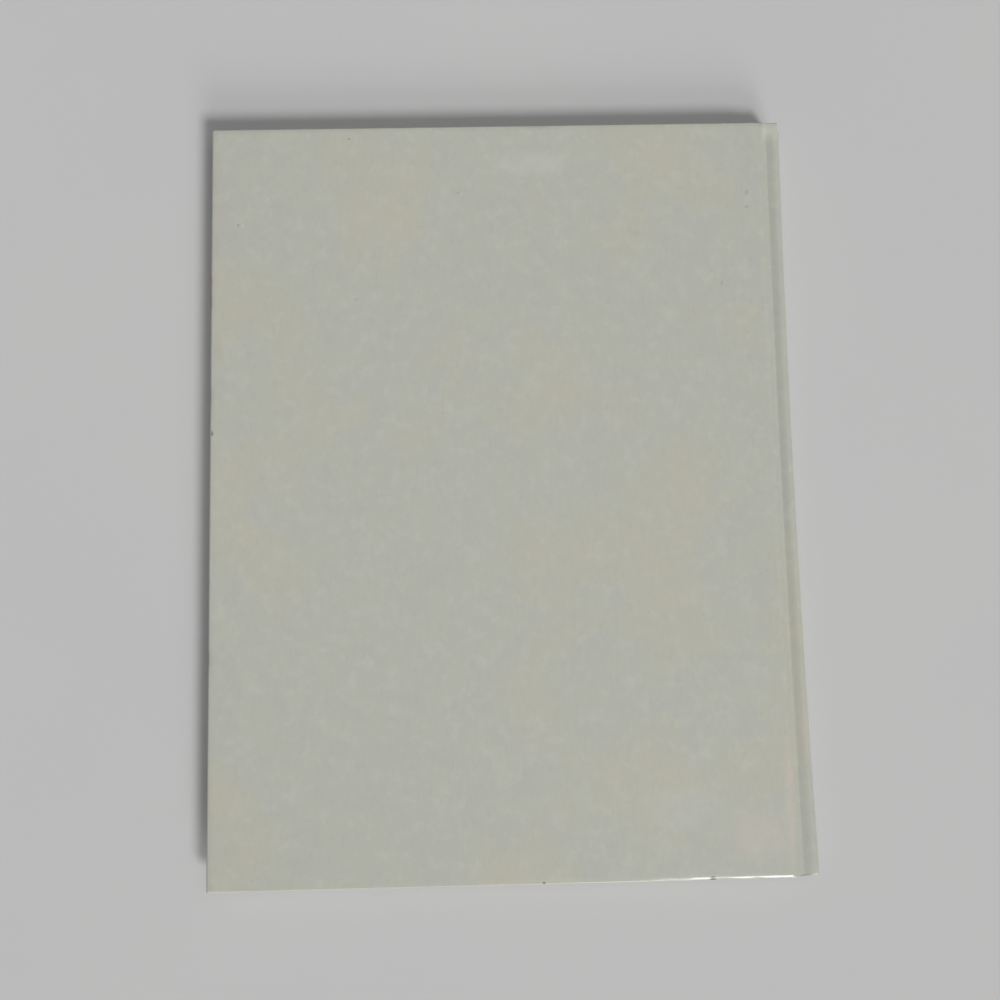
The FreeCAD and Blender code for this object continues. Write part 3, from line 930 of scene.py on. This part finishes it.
def makeHeadband(name, node, end, values):
    # A bead whose radius dips between threads, carried along the block's spine arc, and a thin
    # tape behind it. end is 1 at the head and -1 at the tail.
    halfHeight = (pagesHigh.z - pagesLow.z) / 2
    bulge = values["spineRound"]
    blockRadius = (halfHeight ** 2 + bulge ** 2) / (2 * bulge)
    axisX = cornerX + bulge - blockRadius
    outerRadius = blockRadius + values["tapeThickness"]
    limit = math.asin(halfHeight / outerRadius)
    pathRadius = outerRadius - values["beadRadius"]
    beadY = pagesHigh.y + values["beadRadius"]
    rows = values["threads"] * 6 + 1
    along = np.linspace(-1, 1, rows)
    around = np.linspace(0, 2 * math.pi, 24, endpoint=False)
    twist = around[None, :] / (2 * math.pi)
    phase = (along[:, None] + 1) / 2 * values["threads"] + twist
    dip = values["groove"] * (1 - np.abs(np.sin(math.pi * phase)) ** 0.7)
    closing = np.sqrt(np.clip(1 - (np.abs(along) - 0.93).clip(0) ** 2 / 0.07 ** 2, 0, 1))
    radius = (values["beadRadius"] - 0.02 * mm - dip) * closing[:, None]
    angle = along * limit
    outX = np.cos(angle)[:, None]
    outZ = np.sin(angle)[:, None]
    reach = pathRadius + radius * np.cos(around)
    x = axisX + reach * outX
    z = midHeight + reach * outZ
    y = (beadY + radius * np.sin(around)) * end
    bead = np.stack([x, y, z], -1).reshape(-1, 3)
    beadFaces = gridFaces(rows, len(around), closed=True)
    thread = (np.floor(phase) % 2).ravel()

    tapeRows = 15
    tapeAngle = np.linspace(-limit, limit, tapeRows)
    low, high = pagesHigh.y - values["tapeLength"], beadY
    glued = blockRadius + 0.02 * mm
    corners = ((glued, low), (outerRadius, low), (outerRadius, high), (glued, high))
    tape = np.array([
        [(axisX + r * math.cos(a), y0 * end, midHeight + r * math.sin(a)) for r, y0 in corners]
        for a in tapeAngle
    ]).reshape(-1, 3)
    tapeFaces = gridFaces(tapeRows, 4, len(bead), closed=True).tolist()
    last = len(bead) + 4 * (tapeRows - 1)
    tapeFaces += [[len(bead) + i for i in (3, 2, 1, 0)], [last + i for i in range(4)]]
    points = np.concatenate([bead, tape])
    wound = np.concatenate([thread, np.zeros(len(tape))])
    piece = newPiece(name, points, beadFaces.tolist() + tapeFaces, values={"thread": wound})
    shape = bmesh.new()
    shape.from_mesh(piece.data)
    bmesh.ops.recalc_face_normals(shape, faces=shape.faces)
    shape.to_mesh(piece.data)
    shape.free()
    finishPiece(piece, headbandCloth, crease=50)
    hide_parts(node)
    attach(piece, "text_block")


makeHeadband("headbandAtHead", "headband_head", 1, headbandValues)
makeHeadband("headbandAtTail", "headband_tail", -1, headbandValues)
print("headbands made")


nodeMaterials = {
    "front_board": greyBoard, "back_board": greyBoard,
    "front_flyleaf": endpaperPaper, "back_flyleaf": endpaperPaper,
    "spine_lining": liningPaper,
}
for node, material in nodeMaterials.items():
    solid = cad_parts[node]
    for place in solid.material_slots:
        place.material = material
print("solids dressed")


stageValues = {
    "floor": srgb(190, 190, 190),
    "floorSize": 12.0,
    "world": (1.0, 1.0, 1.0, 1.0),
    "worldStrength": 0.13,
    # each lamp: the way to it from the book, its width in degrees, its strength
    "key": ((0.68, -1.08, 1.0), 15.0, 2.25),
    "overhead": ((0.1, 0.1, 1.0), 60.0, 0.75),
    "front": ((0.24, -0.9, 0.34), 20.0, 1.3),
}


def makeFloor(values):
    # a flat square with a faint grain in its colour
    size = values["floorSize"] / 2
    mesh = bpy.data.meshes.new("floor")
    corners = [(-size, -size, 0), (size, -size, 0), (size, size, 0), (-size, size, 0)]
    mesh.from_pydata(corners, [], [(0, 1, 2, 3)])
    floor = bpy.data.objects.new("floor", mesh)
    bpy.context.scene.collection.objects.link(floor)
    finish = Finish("paleFloor", 0.7, specular=0.1)
    grain = finish.between(finish.noise(9, 4), 0.3, 0.7, 0.0, 0.5)
    colour = finish.mix(grain, values["floor"], srgb(192, 192, 191))
    mesh.materials.append(finish.finish(colour))


def addLamp(name, toward, width, strength):
    # parallel light, so the floor is lit evenly as far as it shows
    lamp = bpy.data.lights.new(name, "SUN")
    lamp.energy = strength
    lamp.angle = math.radians(width)
    holder = bpy.data.objects.new(name, lamp)
    bpy.context.scene.collection.objects.link(holder)
    holder.rotation_mode = "QUATERNION"
    holder.rotation_quaternion = Vector(toward).to_track_quat("Z", "Y")


def makeWorld(values):
    # the same soft light from all sides
    world = bpy.data.worlds.new("studio")
    world.use_nodes = True
    background = world.node_tree.nodes["Background"]
    background.inputs["Color"].default_value = values["world"]
    background.inputs["Strength"].default_value = values["worldStrength"]
    bpy.context.scene.world = world


def makeCamera():
    # The photo's view: a lens as long as the sensor is wide, almost straight above the book.
    # The turn is a rotation vector in degrees that takes book axes to camera axes.
    turn = np.radians((-5.899, 0.959, 1.191))
    place = np.array((-9.48, -41.87, 372.31)) * mm + (0, 0, cadHigh.z)
    angle = float(np.linalg.norm(turn))
    camera = bpy.data.cameras.new("camera")
    camera.sensor_width = 36
    camera.lens = 36
    camera.clip_start, camera.clip_end = 0.02, 20
    holder = bpy.data.objects.new("camera", camera)
    bpy.context.scene.collection.objects.link(holder)
    rotation = Matrix.Rotation(-angle, 4, turn / angle)
    holder.matrix_world = Matrix.Translation(place) @ rotation
    bpy.context.scene.camera = holder


makeFloor(stageValues)
makeWorld(stageValues)
for lampName in ("key", "overhead", "front"):
    addLamp(lampName, *stageValues[lampName])
makeCamera()
bpy.context.scene.view_settings.view_transform = "Standard"
print("stage made")
